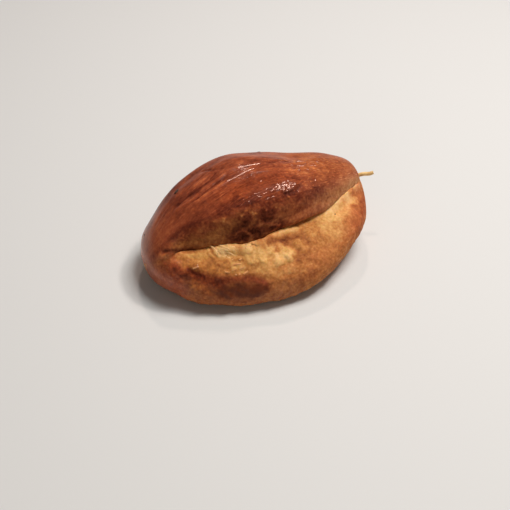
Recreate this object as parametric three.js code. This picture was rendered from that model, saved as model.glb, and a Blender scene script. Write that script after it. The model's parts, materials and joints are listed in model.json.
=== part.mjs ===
// A pogaca: a round of soft dough folded over once and baked. The glazed upper flap
// overhangs a paler lower lip, and the two meet in a crease along the open side.
// It is one solid, in millimetres, +Z up, standing on its flat base at z = 0.
// +X runs along the fold from tip to tip, and -Y is the open side.
import * as THREE from "three";

const { lerp, smoothstep } = THREE.MathUtils;

// Overall size.
const LENGTH = 112;
const HEIGHT = 45;
const AXIS_HEIGHT = 18;
const BASE_ROUNDING = 6;

// The cross-section halfway along, as [y, z] of the points where its arcs meet.
const BACK_BELLY = [37, 15];
const CREST = [5, HEIGHT];
const FLAP_EDGE = [-14, 33];
const CREASE = [-9, 28];
const LIP_BELLY = [-35.8, 10];
const KEEL = [-2, -13];
const ARC_FULLNESS = [2.1, 2.2, 2.0, 2.1, 2.0, 2.0];
const ARC_STEPS = [20, 17, 9, 19, 10, 13];

// The two tips, where every cross-section closes, as [y, z].
const LEFT_TIP = [2, 12];
const RIGHT_TIP = [7, 22];
const STATIONS = 64;
const STATION_EVENNESS = 0.45;

// How far the fullest part of the height, the back and the lip lies to the left of the middle,
// as a share of the half length, and how blunt the pastry is towards its left and right tips.
const HEIGHT_SKEW = 0.18;
const BACK_SKEW = 0.13;
const LIP_SKEW = 0.08;
const LEFT_BLUNTNESS = 1.82;
const RIGHT_BLUNTNESS = 2.4;

// Where the crease fades out at the left and the right, and where and how far it sags forward
// and down, to a blunt point. Places along the pastry are shares of the half length.
const CREASE_LEFT_END = [-0.98, -0.66];
const CREASE_RIGHT_END = [0.9, 1.05];
const CREASE_SAG = [-4.3, -4.6];
const SAG_MIDDLE = -0.26;
const SAG_REACH = [0.27, 0.75];
const SAG_BLUNTNESS = 0.06;
const CLOSED_FULLNESS = 2.2;

// Uneven relief of the risen dough. A place round the section is the number of its arc plus the
// share of that arc: 1 is the crest, 2 the flap's edge, 3 the crease and 4 the front of the lip.
const SWELLS = [
  { length: 43, heading: 0.3, depth: 0.35 },
  { length: 31, heading: 1.5, depth: 0.3 },
  { length: 21, heading: 2.4, depth: 0.25 },
];
const FURROW_SPACING = 0.31;
const FURROW_DEPTH = 0.4;
const FURROW_DRIFT = 0.35;
const FURROW_TWIST = { along: 2, round: 3 };
const FURROWED_ROUND = [0.3, 0.55, 1.3, 1.6];
const FURROWED_ALONG = [0.45, 0.85];
// How narrowly the relief dies out beside the crease, and how late it does so towards the tips.
const CREASE_CALM = 0.06;
const TIP_CALM = 8;
// Single bumps and hollows: where along, how long, where round, how wide, and how high.
const BUMPS = [
  { name: "saddle in the crest", u: 0.4, long: 0.2, arc: 0.75, wide: 0.45, rise: -2 },
  { name: "swelling left of the saddle", u: -0.08, long: 0.22, arc: 0.8, wide: 0.4, rise: 1.5 },
  { name: "ridge along the glaze's edge", u: -0.32, long: 0.4, arc: 1.5, wide: 0.13, rise: 1 },
  { name: "shoulder of the flap", u: 0.14, long: 0.22, arc: 1.4, wide: 0.2, rise: 0.7 },
  { name: "hollow under the ridge", u: -0.36, long: 0.34, arc: 1.84, wide: 0.17, rise: -1.1 },
  { name: "rim of the lip on the left", u: -0.66, long: 0.16, arc: 3.13, wide: 0.06, rise: 0.8 },
  { name: "torn flake at the crease", u: -0.42, long: 0.1, arc: 3.16, wide: 0.07, rise: 1.2 },
  { name: "notch beside the flake", u: -0.22, long: 0.06, arc: 3.14, wide: 0.08, rise: -1 },
  { name: "bulge in the middle of the lip", u: -0.24, long: 0.13, arc: 3.4, wide: 0.14, rise: 0.8 },
  { name: "dent right of the bulge", u: 0.02, long: 0.1, arc: 3.42, wide: 0.14, rise: -0.6 },
  { name: "blister on the left of the lip", u: -0.71, long: 0.07, arc: 3.36, wide: 0.08, rise: 0.9 },
  { name: "fold under the blister", u: -0.7, long: 0.09, arc: 3.54, wide: 0.07, rise: -0.6 },
  { name: "flattened foot of the lip", u: -0.42, long: 0.2, arc: 3.8, wide: 0.18, rise: -0.6 },
  { name: "full belly on the right of the lip", u: 0.3, long: 0.45, arc: 3.95, wide: 0.35, rise: 1.5 },
];

// The underside: flat in the middle, and low enough to stand on at a few spots of its rim, which
// arches up a little between them. The spots are shares of the half length and places round.
const FLAT_MIDDLE = [14, 7];
const RIM_REACH = 2;
const RIM_ARCH = 0.35;
const FOOT_REACH = 5;
const FEET = [
  { u: -0.62, arc: 4.7 },
  { u: -0.1, arc: 4.6 },
  { u: 0.42, arc: 4.8 },
  { u: 0.42, arc: 5.2 },
  { u: -0.1, arc: 5.38 },
  { u: -0.62, arc: 5.3 },
];

// A smooth hump, 1 at its middle.
function hump(value, middle, reach) {
  return Math.exp(-(((value - middle) / reach) ** 2));
}

// How the width and the height fall off towards the tips.
function taper(u, skew) {
  const skewed = u + skew * (1 - u * u);
  return Math.sqrt(1 - Math.abs(skewed) ** (skewed < 0 ? LEFT_BLUNTNESS : RIGHT_BLUNTNESS));
}

// A quarter of a superellipse from one [y, z] point to another.
function quarterArc(from, to, t, fullness, startsUpright) {
  const angle = (t * Math.PI) / 2;
  const leaving = Math.cos(angle) ** (2 / fullness);
  const arriving = Math.sin(angle) ** (2 / fullness);
  return startsUpright
    ? [lerp(to[0], from[0], leaving), lerp(from[1], to[1], arriving)]
    : [lerp(from[0], to[0], arriving), lerp(to[1], from[1], leaving)];
}

// The folded cross-section at full size: six arcs, from the back over the top to the base.
function foldedSection(u) {
  const fromSag = Math.hypot(u - SAG_MIDDLE, SAG_BLUNTNESS) - SAG_BLUNTNESS;
  const sag = Math.exp(-fromSag / SAG_REACH[u < SAG_MIDDLE ? 0 : 1]);
  const sagged = ([y, z]) => [y + sag * CREASE_SAG[0], z + sag * CREASE_SAG[1]];
  const corners = [BACK_BELLY, CREST, sagged(FLAP_EDGE), sagged(CREASE), LIP_BELLY, KEEL];
  const points = [];
  corners.forEach((corner, k) => {
    const next = corners[(k + 1) % corners.length];
    for (let step = 0; step < ARC_STEPS[k]; step++) {
      points.push(quarterArc(corner, next, step / ARC_STEPS[k], ARC_FULLNESS[k], k % 2 === 0));
    }
  });
  return points;
}

// The point of a plain closed oval in the same direction from the axis, for the end with no crease.
function closedPoint([y, z]) {
  const rise = z - AXIS_HEIGHT;
  const halfWidth = y > 0 ? BACK_BELLY[0] : LIP_BELLY[0];
  const halfHeight = rise > 0 ? HEIGHT - AXIS_HEIGHT : KEEL[1] - AXIS_HEIGHT;
  const reach =
    (Math.abs(y / halfWidth) ** CLOSED_FULLNESS + Math.abs(rise / halfHeight) ** CLOSED_FULLNESS) **
    (-1 / CLOSED_FULLNESS);
  return [y * reach, AXIS_HEIGHT + rise * reach];
}

// Presses what would lie below the table flat onto it, with a rounded edge.
function restOnTable(z) {
  if (z > BASE_ROUNDING) return z;
  return z < -BASE_ROUNDING ? 0 : (z + BASE_ROUNDING) ** 2 / (4 * BASE_ROUNDING);
}

// One ring of points across the pastry at u, from -1 at the left tip to 1 at the right one.
function ring(u) {
  const tip = u < 0 ? LEFT_TIP : RIGHT_TIP;
  const axisY = tip[0] * u * u;
  const axisZ = lerp(AXIS_HEIGHT, tip[1], u * u);
  const creased = smoothstep(u, ...CREASE_LEFT_END) * (1 - smoothstep(u, ...CREASE_RIGHT_END));
  const back = taper(u, BACK_SKEW);
  const lip = taper(u, LIP_SKEW);
  const high = taper(u, HEIGHT_SKEW);
  return foldedSection(u).map((point) => {
    const closed = closedPoint(point);
    const y = lerp(closed[0], point[0], creased);
    const z = lerp(closed[1], point[1], creased);
    const wide = lerp(lip, back, smoothstep(y, LIP_BELLY[0], BACK_BELLY[0]));
    const level = restOnTable(axisZ + high * (z - AXIS_HEIGHT));
    return new THREE.Vector3((LENGTH / 2) * u, axisY + wide * y, level);
  });
}

// How far the skin stands out from the plain form at u, at a place round the section.
function relief(u, arc, { x, y, z }) {
  let rise = 0;
  SWELLS.forEach(({ length, heading, depth }, k) => {
    const along = x * Math.cos(heading) + y * Math.sin(heading) + z;
    rise += depth * Math.sin((2 * Math.PI * along) / length + k);
  });
  const [from, full, waning, to] = FURROWED_ROUND;
  const furrowedRound = smoothstep(arc, from, full) * (1 - smoothstep(arc, waning, to));
  const furrowed = furrowedRound * (1 - smoothstep(Math.abs(u), ...FURROWED_ALONG));
  const drift = FURROW_DRIFT * Math.sin(FURROW_TWIST.along * u + FURROW_TWIST.round * arc);
  rise += FURROW_DEPTH * furrowed * Math.cos(2 * Math.PI * (arc / FURROW_SPACING + drift));
  BUMPS.forEach((bump) => {
    rise += bump.rise * hump(u, bump.u, bump.long) * hump(arc, bump.arc, bump.wide);
  });
  const clearOfCrease = 1 - hump(arc, 3, CREASE_CALM);
  const clearOfTable = smoothstep(z, 0, BASE_ROUNDING);
  const clearOfTips = 1 - Math.abs(u) ** TIP_CALM;
  return rise * clearOfCrease * clearOfTable * clearOfTips;
}

// The place round the section of each point of a ring.
function arcPlaces() {
  return ARC_STEPS.flatMap((steps, arc) => Array.from({ length: steps }, (_, step) => arc + step / steps));
}

// How far the rim of the underside arches up at a point between the feet.
function arch({ x, y, z }, feet) {
  const rim = smoothstep(Math.hypot(x / FLAT_MIDDLE[0], y / FLAT_MIDDLE[1]), 1, RIM_REACH);
  const low = 1 - smoothstep(z, 0, BASE_ROUNDING);
  return feet.reduce((rise, foot) => {
    const away = Math.hypot(x - foot.x, y - foot.y);
    return rise * (1 - hump(away, 0, FOOT_REACH));
  }, RIM_ARCH * rim * low);
}

// The index of the value closest to another.
function nearest(values, wanted) {
  const gaps = values.map((value) => Math.abs(value - wanted));
  return gaps.indexOf(Math.min(...gaps));
}

// The rings from tip to tip, each point raised or sunk along the skin's own normal.
function relievedRings() {
  const stations = Array.from({ length: STATIONS - 1 }, (_, index) => station(index + 1));
  const rings = stations.map(ring);
  const arcs = arcPlaces();
  const around = arcs.length;
  const feet = FEET.map(({ u, arc }) => rings[nearest(stations, u)][nearest(arcs, arc)]);
  return rings.map((points, i) => {
    const before = rings[Math.max(i - 1, 0)];
    const after = rings[Math.min(i + 1, rings.length - 1)];
    return points.map((point, k) => {
      const along = new THREE.Vector3().subVectors(after[k], before[k]);
      const [next, last] = [points[(k + 1) % around], points[(k + around - 1) % around]];
      const normal = new THREE.Vector3().subVectors(next, last).cross(along).normalize();
      const raised = normal.multiplyScalar(relief(stations[i], arcs[k], point)).add(point);
      raised.z += arch(point, feet);
      return raised;
    });
  });
}

// Where a ring lies along the pastry: closer together towards the tips.
function station(index) {
  const share = (2 * index) / STATIONS - 1;
  return lerp(Math.sin((share * Math.PI) / 2), share, STATION_EVENNESS);
}

// The closed skin: a fan at each tip and a band of quads between neighbouring rings.
function doughGeometry() {
  const rings = relievedRings();
  const around = rings[0].length;
  const leftTip = new THREE.Vector3(-LENGTH / 2, ...LEFT_TIP);
  const rightTip = new THREE.Vector3(LENGTH / 2, ...RIGHT_TIP);
  const points = [leftTip, ...rings.flat(), rightTip];
  const triangles = [];
  const lastTip = points.length - 1;
  const lastRing = lastTip - around;
  for (let k = 0; k < around; k++) {
    const next = (k + 1) % around;
    triangles.push(0, 1 + next, 1 + k);
    triangles.push(lastTip, lastRing + k, lastRing + next);
    for (let here = 1; here < lastRing; here += around) {
      const there = here + around;
      triangles.push(here + k, here + next, there + next);
      triangles.push(here + k, there + next, there + k);
    }
  }
  return new THREE.BufferGeometry().setFromPoints(points).setIndex(triangles);
}

const dough = new THREE.Mesh(
  doughGeometry(),
  new THREE.MeshStandardMaterial({ color: 0xa9622f, roughness: 0.45, metalness: 0 }),
);
dough.name = "dough";

// The middle of the base stands over the origin.
const box = new THREE.Box3().setFromObject(dough);
dough.position.set(-(box.min.x + box.max.x) / 2, -(box.min.y + box.max.y) / 2, 0);

const pogaca = new THREE.Group();
pogaca.add(dough);

export default pogaca;
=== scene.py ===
# %% [markdown]
# A pogaca is a round of soft dough, folded over once, brushed with egg and baked. This file
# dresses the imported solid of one: the solid gives the size and the form, and Blender adds the
# wrinkled glaze, the torn crumb at the crease and the colours of the bake. The frame comes
# first, because every piece takes its place from it.

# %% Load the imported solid
import json
import math
import bpy
import numpy as np
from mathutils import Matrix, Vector, noise

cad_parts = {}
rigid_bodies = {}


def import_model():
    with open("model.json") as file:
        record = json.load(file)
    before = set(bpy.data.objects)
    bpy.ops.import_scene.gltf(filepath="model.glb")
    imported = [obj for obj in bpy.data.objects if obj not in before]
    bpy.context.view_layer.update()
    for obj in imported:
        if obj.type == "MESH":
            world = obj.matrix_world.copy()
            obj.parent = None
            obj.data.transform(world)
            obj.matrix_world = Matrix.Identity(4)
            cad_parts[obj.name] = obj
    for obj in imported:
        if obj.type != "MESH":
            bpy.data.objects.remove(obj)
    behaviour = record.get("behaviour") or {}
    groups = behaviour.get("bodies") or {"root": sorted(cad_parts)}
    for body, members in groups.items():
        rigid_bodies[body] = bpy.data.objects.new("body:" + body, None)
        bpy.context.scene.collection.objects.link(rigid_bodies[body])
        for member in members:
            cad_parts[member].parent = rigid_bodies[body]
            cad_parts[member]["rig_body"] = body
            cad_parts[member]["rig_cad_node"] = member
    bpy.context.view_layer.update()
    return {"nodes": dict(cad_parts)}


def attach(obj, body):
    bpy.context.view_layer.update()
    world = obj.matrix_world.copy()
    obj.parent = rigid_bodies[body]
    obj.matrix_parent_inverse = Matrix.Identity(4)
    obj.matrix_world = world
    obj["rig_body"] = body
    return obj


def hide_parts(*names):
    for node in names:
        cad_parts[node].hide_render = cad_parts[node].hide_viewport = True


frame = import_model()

MM = 0.001
solid = frame["nodes"]["dough"]

# %% [markdown]
# The photograph looks down on the open side from a little to the left, with a longish lens. The
# camera is placed by its direction round the pastry and its distance, so that it can be read
# and changed as a photographer would.

# %% Camera
CAMERA_AZIMUTH = math.radians(-25)
CAMERA_ELEVATION = math.radians(42)
CAMERA_DISTANCE = 450 * MM
CAMERA_NEAR = 10 * MM
LOOK_AT = Vector((-7.1, -10.0, 9.6)) * MM
LENS = 69.9

towards_camera = Vector((
    math.sin(CAMERA_AZIMUTH) * math.cos(CAMERA_ELEVATION),
    -math.cos(CAMERA_AZIMUTH) * math.cos(CAMERA_ELEVATION),
    math.sin(CAMERA_ELEVATION),
))
bpy.ops.object.camera_add(
    location=LOOK_AT + towards_camera * CAMERA_DISTANCE,
    rotation=(-towards_camera).to_track_quat("-Z", "Y").to_euler(),
)
camera = bpy.context.object
camera.data.lens = LENS
camera.data.clip_start = CAMERA_NEAR
bpy.context.scene.camera = camera
print("camera", CAMERA_DISTANCE / MM, "mm away, lens", LENS)

# %% [markdown]
# The pastry lies in soft light from above and from the right. One large lamp makes the soft shadow
# on the left. Two small ones, a little pink, give the glints on the shoulder and the long lights on
# the wrinkles. A dim lamp on the open side and a pale world fill in the rest. Each lamp is given by
# its direction, its size in metres, its power in watts and its colour.

# %% Soft studio light
LAMP_DISTANCE = 0.9
LAMPS = {
    "key_light": ((0.34, -0.02, 0.94), 0.36, 6.5, (1.0, 0.97, 0.92)),
    "glint_light": ((0.46, -0.08, 0.88), 0.07, 1.6, (1.0, 0.84, 0.76)),
    "back_light": ((0.25, 0.53, 0.81), 0.06, 1.1, (1.0, 0.78, 0.68)),
    "fill_light": ((-0.75, -0.7, 0.35), 0.5, 0.95, (1.0, 0.87, 0.72)),
}

for name, (direction, size, power, colour) in LAMPS.items():
    towards = Vector(direction).normalized()
    bpy.ops.object.light_add(
        type="AREA",
        location=towards * LAMP_DISTANCE,
        rotation=towards.to_track_quat("Z", "Y").to_euler(),
    )
    lamp = bpy.context.object
    lamp.name = name
    lamp.data.size = size
    lamp.data.energy = power
    lamp.data.color = colour
    print(name, power, "W")

# %% Pale room
WORLD_LIGHT = {"Color": (1.0, 0.94, 0.88, 1.0), "Strength": 0.11}


def set_inputs(node, values):
    for socket, value in values.items():
        node.inputs[socket].default_value = value


world = bpy.data.worlds.new("pale room")
bpy.context.scene.world = world
world.use_nodes = True
set_inputs(world.node_tree.nodes["Background"], WORLD_LIGHT)
bpy.context.scene.view_settings.view_transform = "Standard"
print("world strength", WORLD_LIGHT["Strength"])

# %% [markdown]
# A plain pale surface under the pastry takes its shadow. It is stage, not part of the object.

# %% Pale floor
FLOOR_SIZE = 4.0
FLOOR_SURFACE = {"Base Color": (0.68, 0.7, 0.71, 1.0), "Roughness": 0.6, "Specular IOR Level": 0.2}

bpy.ops.mesh.primitive_plane_add(size=FLOOR_SIZE)
floor = bpy.context.object
floor.name = "pale_floor"
floor_finish = bpy.data.materials.new("pale floor")
floor_finish.use_nodes = True
set_inputs(floor_finish.node_tree.nodes["Principled BSDF"], FLOOR_SURFACE)
floor.data.materials.append(floor_finish)
print("floor", FLOOR_SIZE, "m wide")

# %% [markdown]
# The crust is the whole skin of the pastry. The solid already has its form, so the crust starts
# as a copy of it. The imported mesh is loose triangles: they are merged and joined to quads, a
# subdivision rounds the facets off, and a voxel remesh then gives an even skin with a point
# about every half millimetre, fine enough for wrinkles and torn crumb. Operators act on whatever
# is selected, so a helper picks the one object to work on. The copy drops the frame's own tags.

# %% Copy the solid and join its triangles
MERGE_REACH = 0.005 * MM
QUAD_BEND = math.radians(50)
QUAD_SKEW = math.radians(70)


def pick(piece):
    bpy.ops.object.select_all(action="DESELECT")
    piece.select_set(True)
    bpy.context.view_layer.objects.active = piece


pick(solid)
bpy.ops.object.duplicate()
crust = bpy.context.object
crust.name = "crust"
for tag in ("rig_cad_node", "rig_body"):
    del crust[tag]
crust.data.materials.clear()
bpy.ops.object.mode_set(mode="EDIT")
bpy.ops.mesh.select_all(action="SELECT")
bpy.ops.mesh.remove_doubles(threshold=MERGE_REACH)
bpy.ops.mesh.tris_convert_to_quads(face_threshold=QUAD_BEND, shape_threshold=QUAD_SKEW)
bpy.ops.object.mode_set(mode="OBJECT")
print("merged", len(crust.data.vertices), "points")

# %% Round it off and even out its skin
ROUNDING_LEVELS = 2
SKIN_STEP = 0.46 * MM
RELAX_SHARE = 0.5
RELAX_ROUNDS = 3

rounding = crust.modifiers.new("rounding", "SUBSURF")
rounding.levels = ROUNDING_LEVELS
rounding.render_levels = ROUNDING_LEVELS
bpy.ops.object.modifier_apply(modifier=rounding.name)
even_skin = crust.modifiers.new("even skin", "REMESH")
even_skin.mode = "VOXEL"
even_skin.voxel_size = SKIN_STEP
even_skin.use_smooth_shade = True
bpy.ops.object.modifier_apply(modifier=even_skin.name)
relax = crust.modifiers.new("relax", "SMOOTH")
relax.factor = RELAX_SHARE
relax.iterations = RELAX_ROUNDS
bpy.ops.object.modifier_apply(modifier=relax.name)
print("even skin", len(crust.data.vertices), "points", len(crust.data.polygons), "faces")

# %% [markdown]
# Everything that follows the fold is easier to place along the pastry and round it than in x, y
# and z. So each point of the skin gets its place along, in millimetres from the middle, and its
# angle round a line from tip to tip: 0 is straight up, 90 the open side, -90 the back. The crease
# is the deepest point of each slice on the open side.

# %% Measure the skin
HALF_LENGTH = 56
AXIS_HEIGHT = 18
LEFT_TIP = (2, 12)
RIGHT_TIP = (7, 22)


def skin_points(piece):
    flat = np.empty(len(piece.data.vertices) * 3)
    piece.data.vertices.foreach_get("co", flat)
    return flat.reshape(-1, 3) / MM


along, y, z = skin_points(crust).T
share = np.clip(along / HALF_LENGTH, -1, 1)
axis_y = np.where(share < 0, LEFT_TIP[0], RIGHT_TIP[0]) * share**2
axis_z = AXIS_HEIGHT + (np.where(share < 0, LEFT_TIP[1], RIGHT_TIP[1]) - AXIS_HEIGHT) * share**2
angle = np.degrees(np.arctan2(axis_y - y, z - axis_z))
depth = np.hypot(axis_y - y, z - axis_z)
print("skin lies", depth.min().round(1), "to", depth.max().round(1), "mm from its line")

# %% Find the crease
SLICES = np.arange(-50, 53)
SLICE_REACH = 0.8
OPEN_SIDE = (30, 100)
SPAN = 7

crease_angles = []
for place in SLICES:
    in_slice = (abs(along - place) < SLICE_REACH) & (angle > OPEN_SIDE[0]) & (angle < OPEN_SIDE[1])
    near = np.nonzero(in_slice)[0]
    crease_angles.append(angle[near[np.argmin(depth[near])]])
padded = np.pad(crease_angles, SPAN // 2, mode="edge")
crease_angles = np.convolve(padded, np.ones(SPAN) / SPAN, mode="valid")
crease = np.interp(along, SLICES, crease_angles)
print("crease at", crease_angles[::10].round().tolist(), "degrees")

# %% [markdown]
# At its left end the crease runs out a little higher than in the solid, as a thin slit. A sculptor
# would grab the skin there and pull it up. The same is done here: points near the slit turn round
# the line from tip to tip, most at the slit itself and less further away. The fading is a hump,
# which is 1 in its middle and falls to nothing past its reach.

# %% Pull up the left end of the crease
SLIT_MIDDLE = -43
SLIT_REACH = 8
SLIT_TURN = 4.5
SKIN_REACH = 14


def hump(distance, reach):
    return np.exp(-((distance / reach) ** 2))


pull = SLIT_TURN * hump(along - SLIT_MIDDLE, SLIT_REACH)
angle = angle - pull * hump(angle - crease, SKIN_REACH)
crease = crease - pull
y = axis_y - depth * np.sin(np.radians(angle))
z = axis_z + depth * np.cos(np.radians(angle))
points = np.stack([along, y, z], axis=1)
crust.data.vertices.foreach_set("co", (points * MM).ravel())
crust.data.update()
print("crease pulled up by", round(pull.max(), 1), "degrees")

# %% [markdown]
# Soft masks say what each part of the skin is: the upper flap or the lower lip, glazed with egg
# or bare, open to the heat or resting on the tray. They are made of steps that rise from 0 to 1
# between two places along, or two angles round, and of noise that makes their edges ragged.

# %% Helpers for soft masks
NOISE_FADE = 0.9
NOISE_STEP = 2.0


def soft_step(value, low, high):
    part = np.clip((value - low) / (high - low), 0, 1)
    return part * part * (3 - 2 * part)


def right_of(low, high):
    return soft_step(along, low, high)


def left_of(low, high):
    return 1 - right_of(low, high)


def front_of(low, high):
    return soft_step(angle, low, high)


def back_of(low, high):
    return soft_step(-angle, low, high)


def run(stops):
    return np.interp(along, list(stops), list(stops.values()))


def fractal(places, octaves):
    return np.array([noise.fractal(place, NOISE_FADE, NOISE_STEP, octaves) for place in places])


def rough(scale, seed, octaves=2):
    return fractal(points / scale + seed, octaves)


open_seam = right_of(-51, -44) * left_of(51, 56)
print("crease open on", round(open_seam.mean(), 2), "of the skin")

# %% [markdown]
# The egg was brushed over the top only. Its front edge runs along the shoulder of the flap, sharp
# on the left and fading out on the right. Behind, it ends in a ragged line above a bare foot.

# %% Masks for the flap, the glaze and the underside
GLAZE_EDGE = {-52: 30, -42: 21, -30: 25, -16: 24, -4: 29, 10: 31, 22: 31, 34: 33, 48: 36}
GLAZE_RAGGED = 4.0
SHARP_EDGE = 2.5
FADING_EDGE = 7
BACK_EDGE = {-56: -125, -48: -118, -36: -94, 0: -86, 30: -84, 50: -92}
BACK_RAGGED = 9.0
BACK_BLUR = 9
CREASE_BLUR = 0.4
TIP_BLUR = 7
TRAY_HEIGHTS = (0.6, 5.0)

seam_gap = np.radians(crease - angle) * depth
seam_blur = CREASE_BLUR + TIP_BLUR * (1 - open_seam)
back_foot = back_of(125, 175)
flap = soft_step(seam_gap, -seam_blur, seam_blur) * (1 - back_foot)
glaze_edge = run(GLAZE_EDGE) + GLAZE_RAGGED * rough(3.0, 3.1, 3)
edge_blur = SHARP_EDGE + FADING_EDGE * right_of(14, 34)
back_edge = run(BACK_EDGE) + BACK_RAGGED * rough(7.0, 7.9, 3)
glaze = flap * soft_step(glaze_edge - angle, -edge_blur, edge_blur)
glaze *= soft_step(angle - back_edge, -BACK_BLUR, BACK_BLUR)
bare_back = flap * (1 - glaze) * back_of(50, 75)
far_side = back_of(18, 40) * (1 - back_foot)
underside = 1 - soft_step(z, *TRAY_HEIGHTS)
lip = (1 - flap) * (1 - underside)
front = flap * (1 - glaze) * front_of(0, 10)
print("flap", round(flap.mean(), 2), "glazed", round(glaze.mean(), 2), "lip", round(lip.mean(), 2))

# %% [markdown]
# A sculptor would drag a brush along each fold and dab each blister. The helpers here do that in
# numbers, so the result is the same at every run: a stroke is strongest along a path on the skin, a
# dab round one place, and both are given as millimetres along and degrees round. A dab also has a
# length and a width in millimetres, and wanders a little, so that its edge is ragged.

# %% Strokes and dabs on the skin
RAGGEDNESS = 2.0

wander = np.stack([rough(4.5, seed, 3) for seed in (11.3, 23.7)], axis=1)


def turned(turn):
    return (angle - turn + 180) % 360 - 180


def stroke(path, width):
    nearest = np.full(len(points), np.inf)
    for (start, start_turn), (end, end_turn) in zip(path, path[1:]):
        across = np.radians(turned(start_turn)) * depth
        run_across = np.radians(end_turn - start_turn) * depth
        run_along = end - start
        part = ((along - start) * run_along + across * run_across) / (run_along**2 + run_across**2)
        part = np.clip(part, 0, 1)
        gap = (along - start - part * run_along) ** 2 + (across - part * run_across) ** 2
        nearest = np.minimum(nearest, gap)
    return np.exp(-nearest / width**2)


def strokes(paths, width):
    return np.max([stroke(path, width) for path in paths], axis=0)


def dab(place, turn, long, wide, raggedness=RAGGEDNESS):
    off_along = along - place + raggedness * wander[:, 0]
    off_round = np.radians(turned(turn)) * depth + raggedness * wander[:, 1]
    return np.exp(-((off_along / long) ** 2) - (off_round / wide) ** 2)


def dabs(rows, raggedness=RAGGEDNESS):
    return sum(amount * dab(*where, raggedness) for *where, amount in rows.values())


print("dabs wander up to", round(RAGGEDNESS * abs(wander).max(), 1), "mm")

# %% [markdown]
# The glaze dried while the dough still rose, so it lies in long fine wrinkles that run with the
# fold and fan out from the left end. They are made from noise that is stretched along the pastry,
# and each point of the skin is pushed out by its height. The same noise later colours them, because
# egg gathers in the hollows and bakes darker there.

# %% Long wrinkles of the glaze
WRINKLE_SLANT = {-54: 26, -38: 14, -20: 4, -12: -1, 0: -4, 20: -5, 45: 0, 56: 0}
MIDDLE_RADIUS = 27
BROAD_HEIGHT = 0.2
FINE_HEIGHT = 0.1
FAR_SIDE_LOSS = 0.75

fold_round = np.radians(angle - run(WRINKLE_SLANT)) * MIDDLE_RADIUS


def grain_along(length, width, seed):
    places = np.stack([along / length + seed, fold_round / width, np.full(len(points), seed)], axis=1)
    return fractal(places, 2)


def raise_skin(piece, heights):
    normals = np.empty(len(piece.data.vertices) * 3)
    piece.data.vertex_normals.foreach_get("vector", normals)
    moved = skin_points(piece) + normals.reshape(-1, 3) * heights[:, None]
    moved[:, 2] = np.maximum(moved[:, 2], 0)
    piece.data.vertices.foreach_set("co", (moved * MM).ravel())
    piece.data.update()


wrinkled = glaze * (0.3 + 0.7 * (1 - front_of(-4, 14)))
wrinkled *= left_of(28, 46) * right_of(-55, -44)
broad_wrinkles = grain_along(26, 3.0, 5.5)
fine_wrinkles = (1 - 2 * abs(grain_along(14, 1.7, 9.5))) * right_of(-42, -24)
wrinkle_height = BROAD_HEIGHT * broad_wrinkles + FINE_HEIGHT * fine_wrinkles
raise_skin(crust, wrinkled * (1 - FAR_SIDE_LOSS * far_side) * wrinkle_height)
print("wrinkles on", int((wrinkled > 0.3).sum()), "points")

# %% [markdown]
# Along the shoulder the egg set in a pebbled skin, and that is where the light glitters. Lower on
# the flap the bare dough is only porous, on the lip it is lumpy, where the skin tore and shrank, and
# the back swells softly. Displace modifiers press these in, each with its own noise, its size and
# height in millimetres, and a vertex group as a mask.

# %% Where the skin is pebbled, porous, lumpy or swollen
PEBBLED = {
    "foam on the shoulder": (8.6, 18.6, 4.4, 2.1, 1.0),
    "left of the foam": (-3, 21, 4, 2.2, 0.1),
    "right of the foam": (22, 21, 4, 2, 0.2),
    "right of the crest": (25, -12, 8, 6, 0.2),
}

pebbled = np.clip(dabs(PEBBLED, 1.0), 0, 1) * flap
off_seam = soft_step(abs(seam_gap), 0.3, 2.0) * left_of(38, 52) * right_of(-54, -48)
porous = np.maximum(front, lip) * off_seam
lumpy = lip * off_seam * (1 - 0.5 * right_of(5, 25))
swollen = far_side * soft_step(z, 3, 9) * back_of(55, 80)
print("pebbled", int((pebbled > 0.1).sum()), "points")

# %% Pebbles, pores, lumps and swells
MASK_LEVELS = 40
RELIEF = [
    ("pebbles", 0.9, 0.6, 1, pebbled),
    ("pores", 1.3, 0.3, 1, porous),
    ("lumps", 5.0, 1.4, 1, lumpy),
    ("small lumps", 2.2, 0.75, 2, lumpy),
    ("soft swells", 8.0, 0.9, 1, swollen),
]


def paint_group(piece, name, weights):
    group = piece.vertex_groups.new(name=name)
    steps = np.round(np.clip(weights, 0, 1) * MASK_LEVELS).astype(int)
    for step in range(1, MASK_LEVELS + 1):
        group.add(np.nonzero(steps == step)[0].tolist(), step / MASK_LEVELS, "REPLACE")


pick(crust)
for name, size, height, detail, weights in RELIEF:
    paint_group(crust, name, weights)
    texture = bpy.data.textures.new(name, "CLOUDS")
    texture.noise_scale = size * MM
    texture.noise_depth = detail
    push = crust.modifiers.new(name, "DISPLACE")
    push.texture = texture
    push.texture_coords = "LOCAL"
    push.strength = height * MM
    push.vertex_group = name
    bpy.ops.object.modifier_apply(modifier=push.name)
    print(name, height, "mm on", int((weights > 0.1).sum()), "points")
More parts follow.
